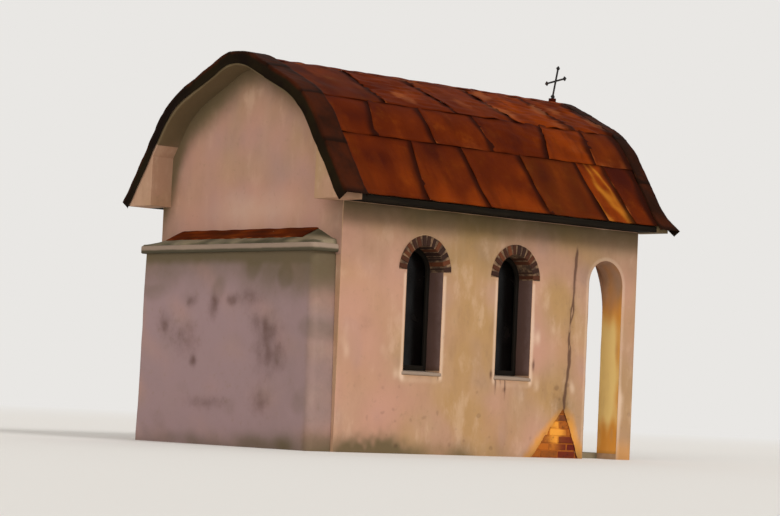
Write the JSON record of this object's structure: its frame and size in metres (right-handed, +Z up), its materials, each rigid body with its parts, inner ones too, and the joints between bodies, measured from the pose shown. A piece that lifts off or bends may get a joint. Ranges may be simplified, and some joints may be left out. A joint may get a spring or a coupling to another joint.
{
  "type": "small chapel",
  "caption": "Small plastered chapel with a shallow apse block, round-headed side windows, an open arched porch and a curved rusty steel roof with a leaning iron cross.",
  "frame": {"origin": "on the ground, in the middle of the plan", "axes": "+X along the ridge towards the porch, +Y to the south side, +Z up"},
  "size_m": [4.884, 3.6364, 4.3772],
  "materials": {
    "plaster": "weathered lime plaster on brick",
    "cement": "worn cement screed",
    "brick": "fired red brick",
    "roof_steel": "rusted sheet steel",
    "iron": "rusted wrought iron",
    "joinery": "weathered painted timber",
    "pane": "dusty window glass"
  },
  "bodies": {
    "root": {"north_wall": "plaster", "south_wall": "plaster", "east_wall": "plaster", "west_wall_north": "plaster", "west_wall_south": "plaster", "west_wall_head": "plaster", "porch_north_wall": "plaster", "porch_south_wall": "plaster", "porch_front": "plaster", "vault": "plaster", "east_rim": "plaster", "west_rim": "plaster", "apse": "plaster", "apse_ledge": "cement", "apse_cap": "cement", "nave_floor": "cement", "porch_floor": "cement", "door_threshold": "cement", "north_window_sills": "cement", "south_window_sills": "cement", "north_window_arches": "brick", "south_window_arches": "brick", "north_lower_sheets": "roof_steel", "south_lower_sheets": "roof_steel", "north_middle_sheets": "roof_steel", "south_middle_sheets": "roof_steel", "north_upper_sheets": "roof_steel", "south_upper_sheets": "roof_steel", "ridge_sheets": "roof_steel", "east_verge": "roof_steel", "west_verge": "roof_steel", "apse_cap_sheet": "roof_steel", "cross_socket": "roof_steel", "roof_cross": "iron", "door_hinges": "iron", "door_handle": "iron", "north_eave": "joinery", "south_eave": "joinery", "north_window_frames": "joinery", "south_window_frames": "joinery", "door_frame": "joinery", "door_leaf": "joinery", "north_window_glass": "pane", "south_window_glass": "pane"}
  },
  "joints": []
}
